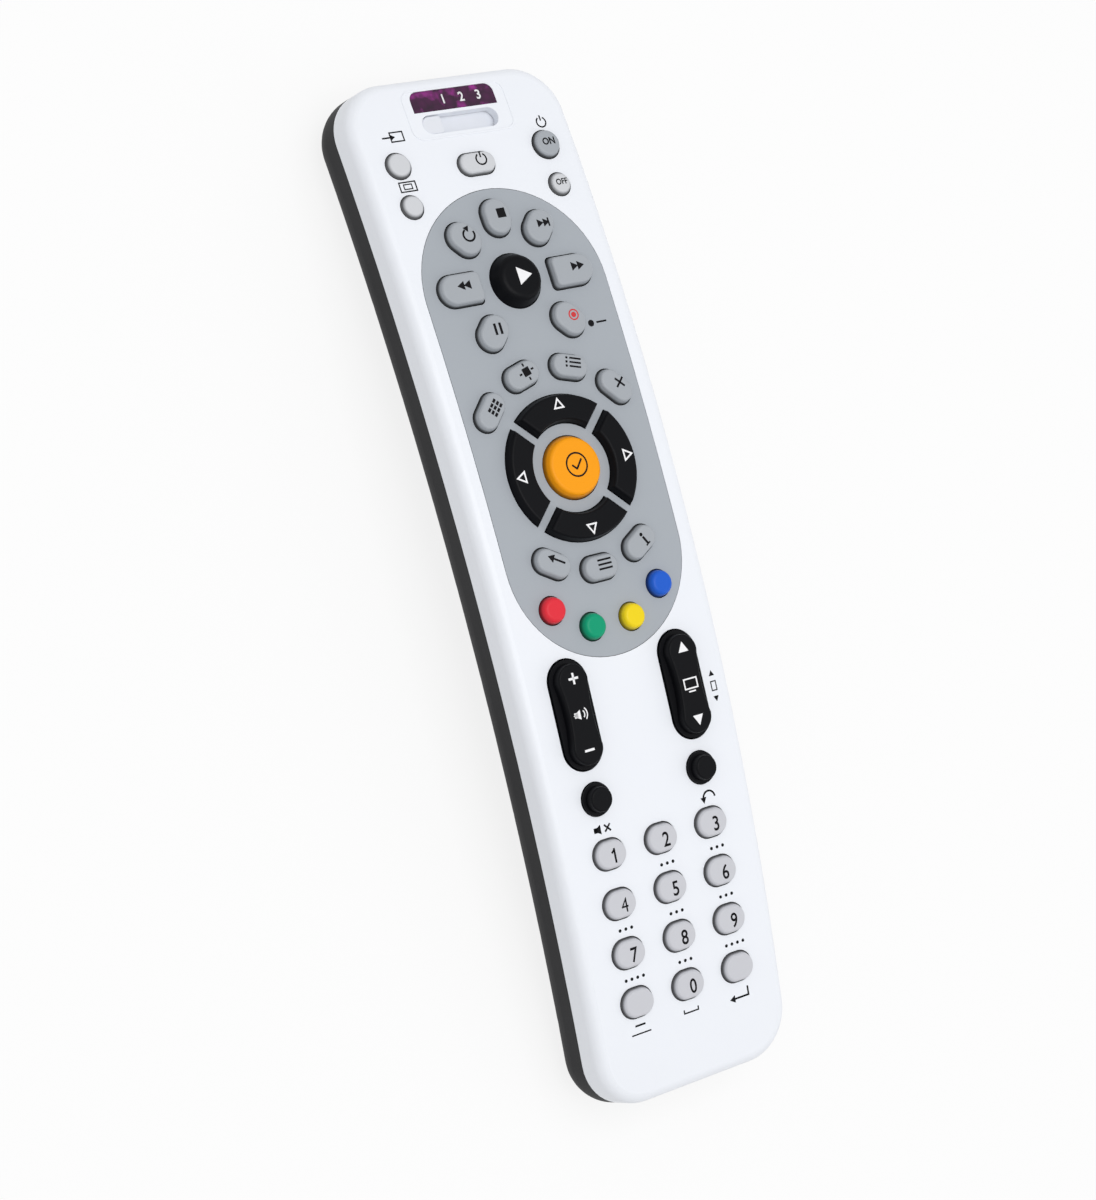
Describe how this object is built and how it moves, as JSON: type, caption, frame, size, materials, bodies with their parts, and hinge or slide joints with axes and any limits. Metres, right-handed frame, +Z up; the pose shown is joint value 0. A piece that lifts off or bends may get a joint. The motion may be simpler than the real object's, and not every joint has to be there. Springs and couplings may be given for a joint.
{
  "type": "universal remote control",
  "caption": "Long bowed handheld remote control with a white face, grey oval key panel, an orange key inside a black arrow ring, rockers, number keys and a dark underside.",
  "frame": {"origin": "on the table under the middle of the body, at the flat bottom of the belly", "axes": "+Y along the body to the infrared emitter end, +Z up out of the keys, +X to the right as the keys are read"},
  "size_m": [0.0544, 0.221, 0.0304],
  "materials": {
    "white_plastic": "smooth bluish white moulded plastic with a soft sheen",
    "dark_plastic": "fine-grained near-black moulded plastic",
    "grey_panel": "satin blue-grey plastic",
    "grey_key": "satin blue-grey elastomer with black print",
    "pale_key": "satin pale grey elastomer with black print",
    "number_key": "satin light grey elastomer with black numerals",
    "black_key": "satin black elastomer with white print",
    "orange_key": "satin orange elastomer with black print",
    "red_key": "glossy red",
    "green_key": "glossy green",
    "yellow_key": "glossy yellow",
    "blue_key": "glossy blue",
    "dark_window": "translucent dark violet plastic, polished",
    "silicone": "translucent grey silicone",
    "board_green": "green laminate with solder mask",
    "chip_black": "black epoxy",
    "led_clear": "clear tinted resin",
    "lamp_red": "red lamp resin",
    "switch_metal": "tinned steel",
    "contact_metal": "nickel-plated spring steel",
    "cell_wrap": null,
    "screw_steel": "zinc-plated steel"
  },
  "bodies": {
    "casing": {"upper_shell": "white_plastic", "lower_shell": "dark_plastic", "face_panel": "grey_panel", "mode_window": "dark_window", "keypad_mat": "silicone", "circuit_board": "board_green", "controller_chip": "chip_black", "infrared_led": "led_clear", "mode_lamps": "lamp_red", "slide_switch": "switch_metal", "battery_contacts": "contact_metal", "batteries": "cell_wrap", "housing_screws": "screw_steel"},
    "key_input_body": {"key_input": "pale_key"},
    "key_on_body": {"key_on": "grey_key"},
    "key_format_body": {"key_format": "pale_key"},
    "key_off_body": {"key_off": "pale_key"},
    "key_power_body": {"key_power": "pale_key"},
    "key_mute_body": {"key_mute": "black_key"},
    "key_previous_body": {"key_previous": "black_key"},
    "key_play_body": {"key_play": "black_key"},
    "key_select_body": {"key_select": "orange_key"},
    "key_rewind_body": {"key_rewind": "grey_key"},
    "key_forward_body": {"key_forward": "grey_key"},
    "key_stop_body": {"key_stop": "grey_key"},
    "key_replay_body": {"key_replay": "grey_key"},
    "key_skip_body": {"key_skip": "grey_key"},
    "key_pause_body": {"key_pause": "grey_key"},
    "key_record_body": {"key_record": "grey_key"},
    "key_guide_body": {"key_guide": "grey_key"},
    "key_active_body": {"key_active": "grey_key"},
    "key_list_body": {"key_list": "grey_key"},
    "key_exit_body": {"key_exit": "grey_key"},
    "key_back_body": {"key_back": "grey_key"},
    "key_menu_body": {"key_menu": "grey_key"},
    "key_info_body": {"key_info": "grey_key"},
    "key_right_body": {"key_right": "black_key"},
    "key_up_body": {"key_up": "black_key"},
    "key_left_body": {"key_left": "black_key"},
    "key_down_body": {"key_down": "black_key"},
    "key_red_body": {"key_red": "red_key"},
    "key_green_body": {"key_green": "green_key"},
    "key_yellow_body": {"key_yellow": "yellow_key"},
    "key_blue_body": {"key_blue": "blue_key"},
    "key_1_body": {"key_1": "number_key"},
    "key_2_body": {"key_2": "number_key"},
    "key_3_body": {"key_3": "number_key"},
    "key_4_body": {"key_4": "number_key"},
    "key_5_body": {"key_5": "number_key"},
    "key_6_body": {"key_6": "number_key"},
    "key_7_body": {"key_7": "number_key"},
    "key_8_body": {"key_8": "number_key"},
    "key_9_body": {"key_9": "number_key"},
    "key_dash_body": {"key_dash": "number_key"},
    "key_0_body": {"key_0": "number_key"},
    "key_enter_body": {"key_enter": "number_key"},
    "volume_rocker_body": {"volume_rocker": "black_key"},
    "channel_rocker_body": {"channel_rocker": "black_key"},
    "mode_slider_body": {"mode_slider": "white_plastic"},
    "battery_cover_body": {"battery_cover": "dark_plastic"}
  },
  "joints": [
    {"name": "key_input_press", "type": "slide", "parent": "casing", "child": "key_input_body", "axis": [0, -0.1529, -0.9882], "range_m": [0, 0.001], "stiffness_N_per_m": 200},
    {"name": "key_on_press", "type": "slide", "parent": "casing", "child": "key_on_body", "axis": [0, -0.1529, -0.9882], "range_m": [0, 0.001], "stiffness_N_per_m": 200},
    {"name": "key_format_press", "type": "slide", "parent": "casing", "child": "key_format_body", "axis": [0, -0.1376, -0.9905], "range_m": [0, 0.001], "stiffness_N_per_m": 200},
    {"name": "key_off_press", "type": "slide", "parent": "casing", "child": "key_off_body", "axis": [0, -0.1376, -0.9905], "range_m": [0, 0.001], "stiffness_N_per_m": 200},
    {"name": "key_power_press", "type": "slide", "parent": "casing", "child": "key_power_body", "axis": [0, -0.1496, -0.9887], "range_m": [0, 0.001], "stiffness_N_per_m": 200},
    {"name": "key_mute_press", "type": "slide", "parent": "casing", "child": "key_mute_body", "axis": [0, 0.076, -0.9971], "range_m": [0, 0.001], "stiffness_N_per_m": 200},
    {"name": "key_previous_press", "type": "slide", "parent": "casing", "child": "key_previous_body", "axis": [0, 0.076, -0.9971], "range_m": [0, 0.001], "stiffness_N_per_m": 200},
    {"name": "key_play_press", "type": "slide", "parent": "casing", "child": "key_play_body", "axis": [0, -0.1058, -0.9944], "range_m": [0, 0.001], "stiffness_N_per_m": 200},
    {"name": "key_select_press", "type": "slide", "parent": "casing", "child": "key_select_body", "axis": [0, -0.0374, -0.9993], "range_m": [0, 0.001], "stiffness_N_per_m": 200},
    {"name": "key_rewind_press", "type": "slide", "parent": "casing", "child": "key_rewind_body", "axis": [0, -0.1058, -0.9944], "range_m": [0, 0.001], "stiffness_N_per_m": 200},
    {"name": "key_forward_press", "type": "slide", "parent": "casing", "child": "key_forward_body", "axis": [0, -0.1058, -0.9944], "range_m": [0, 0.001], "stiffness_N_per_m": 200},
    {"name": "key_stop_press", "type": "slide", "parent": "casing", "child": "key_stop_body", "axis": [0, -0.129, -0.9916], "range_m": [0, 0.001], "stiffness_N_per_m": 200},
    {"name": "key_replay_press", "type": "slide", "parent": "casing", "child": "key_replay_body", "axis": [0, -0.1231, -0.9924], "range_m": [0, 0.001], "stiffness_N_per_m": 200},
    {"name": "key_skip_press", "type": "slide", "parent": "casing", "child": "key_skip_body", "axis": [0, -0.1231, -0.9924], "range_m": [0, 0.001], "stiffness_N_per_m": 200},
    {"name": "key_pause_press", "type": "slide", "parent": "casing", "child": "key_pause_body", "axis": [0, -0.0887, -0.9961], "range_m": [0, 0.001], "stiffness_N_per_m": 200},
    {"name": "key_record_press", "type": "slide", "parent": "casing", "child": "key_record_body", "axis": [0, -0.0887, -0.9961], "range_m": [0, 0.001], "stiffness_N_per_m": 200},
    {"name": "key_guide_press", "type": "slide", "parent": "casing", "child": "key_guide_body", "axis": [0, -0.062, -0.9981], "range_m": [0, 0.001], "stiffness_N_per_m": 200},
    {"name": "key_active_press", "type": "slide", "parent": "casing", "child": "key_active_body", "axis": [0, -0.0721, -0.9974], "range_m": [0, 0.001], "stiffness_N_per_m": 200},
    {"name": "key_list_press", "type": "slide", "parent": "casing", "child": "key_list_body", "axis": [0, -0.0721, -0.9974], "range_m": [0, 0.001], "stiffness_N_per_m": 200},
    {"name": "key_exit_press", "type": "slide", "parent": "casing", "child": "key_exit_body", "axis": [0, -0.062, -0.9981], "range_m": [0, 0.001], "stiffness_N_per_m": 200},
    {"name": "key_back_press", "type": "slide", "parent": "casing", "child": "key_back_body", "axis": [0, -0.0063, -1], "range_m": [0, 0.001], "stiffness_N_per_m": 200},
    {"name": "key_menu_press", "type": "slide", "parent": "casing", "child": "key_menu_body", "axis": [0, -0.0012, -1], "range_m": [0, 0.001], "stiffness_N_per_m": 200},
    {"name": "key_info_press", "type": "slide", "parent": "casing", "child": "key_info_body", "axis": [0, -0.0063, -1], "range_m": [0, 0.001], "stiffness_N_per_m": 200},
    {"name": "key_right_press", "type": "slide", "parent": "casing", "child": "key_right_body", "axis": [0, -0.0374, -0.9993], "range_m": [0, 0.001], "stiffness_N_per_m": 200},
    {"name": "key_up_press", "type": "slide", "parent": "casing", "child": "key_up_body", "axis": [0, -0.0374, -0.9993], "range_m": [0, 0.001], "stiffness_N_per_m": 200},
    {"name": "key_left_press", "type": "slide", "parent": "casing", "child": "key_left_body", "axis": [0, -0.0374, -0.9993], "range_m": [0, 0.001], "stiffness_N_per_m": 200},
    {"name": "key_down_press", "type": "slide", "parent": "casing", "child": "key_down_body", "axis": [0, -0.0374, -0.9993], "range_m": [0, 0.001], "stiffness_N_per_m": 200},
    {"name": "key_red_press", "type": "slide", "parent": "casing", "child": "key_red_body", "axis": [0, 0.0093, -1], "range_m": [0, 0.001], "stiffness_N_per_m": 200},
    {"name": "key_green_press", "type": "slide", "parent": "casing", "child": "key_green_body", "axis": [0, 0.0181, -0.9998], "range_m": [0, 0.001], "stiffness_N_per_m": 200},
    {"name": "key_yellow_press", "type": "slide", "parent": "casing", "child": "key_yellow_body", "axis": [0, 0.0181, -0.9998], "range_m": [0, 0.001], "stiffness_N_per_m": 200},
    {"name": "key_blue_press", "type": "slide", "parent": "casing", "child": "key_blue_body", "axis": [0, 0.0093, -1], "range_m": [0, 0.001], "stiffness_N_per_m": 200},
    {"name": "key_1_press", "type": "slide", "parent": "casing", "child": "key_1_body", "axis": [0, 0.0957, -0.9954], "range_m": [0, 0.001], "stiffness_N_per_m": 200},
    {"name": "key_2_press", "type": "slide", "parent": "casing", "child": "key_2_body", "axis": [0, 0.0957, -0.9954], "range_m": [0, 0.001], "stiffness_N_per_m": 200},
    {"name": "key_3_press", "type": "slide", "parent": "casing", "child": "key_3_body", "axis": [0, 0.0957, -0.9954], "range_m": [0, 0.001], "stiffness_N_per_m": 200},
    {"name": "key_4_press", "type": "slide", "parent": "casing", "child": "key_4_body", "axis": [0, 0.1133, -0.9936], "range_m": [0, 0.001], "stiffness_N_per_m": 200},
    {"name": "key_5_press", "type": "slide", "parent": "casing", "child": "key_5_body", "axis": [0, 0.1133, -0.9936], "range_m": [0, 0.001], "stiffness_N_per_m": 200},
    {"name": "key_6_press", "type": "slide", "parent": "casing", "child": "key_6_body", "axis": [0, 0.1133, -0.9936], "range_m": [0, 0.001], "stiffness_N_per_m": 200},
    {"name": "key_7_press", "type": "slide", "parent": "casing", "child": "key_7_body", "axis": [0, 0.1309, -0.9914], "range_m": [0, 0.001], "stiffness_N_per_m": 200},
    {"name": "key_8_press", "type": "slide", "parent": "casing", "child": "key_8_body", "axis": [0, 0.1309, -0.9914], "range_m": [0, 0.001], "stiffness_N_per_m": 200},
    {"name": "key_9_press", "type": "slide", "parent": "casing", "child": "key_9_body", "axis": [0, 0.1309, -0.9914], "range_m": [0, 0.001], "stiffness_N_per_m": 200},
    {"name": "key_dash_press", "type": "slide", "parent": "casing", "child": "key_dash_body", "axis": [0, 0.1484, -0.9889], "range_m": [0, 0.001], "stiffness_N_per_m": 200},
    {"name": "key_0_press", "type": "slide", "parent": "casing", "child": "key_0_body", "axis": [0, 0.1484, -0.9889], "range_m": [0, 0.001], "stiffness_N_per_m": 200},
    {"name": "key_enter_press", "type": "slide", "parent": "casing", "child": "key_enter_body", "axis": [0, 0.1484, -0.9889], "range_m": [0, 0.001], "stiffness_N_per_m": 200},
    {"name": "volume_rocker_tilt", "type": "hinge", "parent": "casing", "child": "volume_rocker_body", "pos_m": [-0.0142, -0.02755, 0.02437], "axis": [1, 0, 0], "range_deg": [-3.5, 3.5], "stiffness_Nm_per_rad": 0.5},
    {"name": "channel_rocker_tilt", "type": "hinge", "parent": "casing", "child": "channel_rocker_body", "pos_m": [0.0142, -0.02755, 0.02437], "axis": [1, 0, 0], "range_deg": [-3.5, 3.5], "stiffness_Nm_per_rad": 0.5},
    {"name": "mode_slide", "type": "slide", "parent": "casing", "child": "mode_slider_body", "axis": [1, 0, 0], "range_m": [0, 0.0126]},
    {"name": "cover_off", "type": "slide", "parent": "casing", "child": "battery_cover_body", "axis": [0, 0, -1], "range_m": [0, 0.02]}
  ]
}
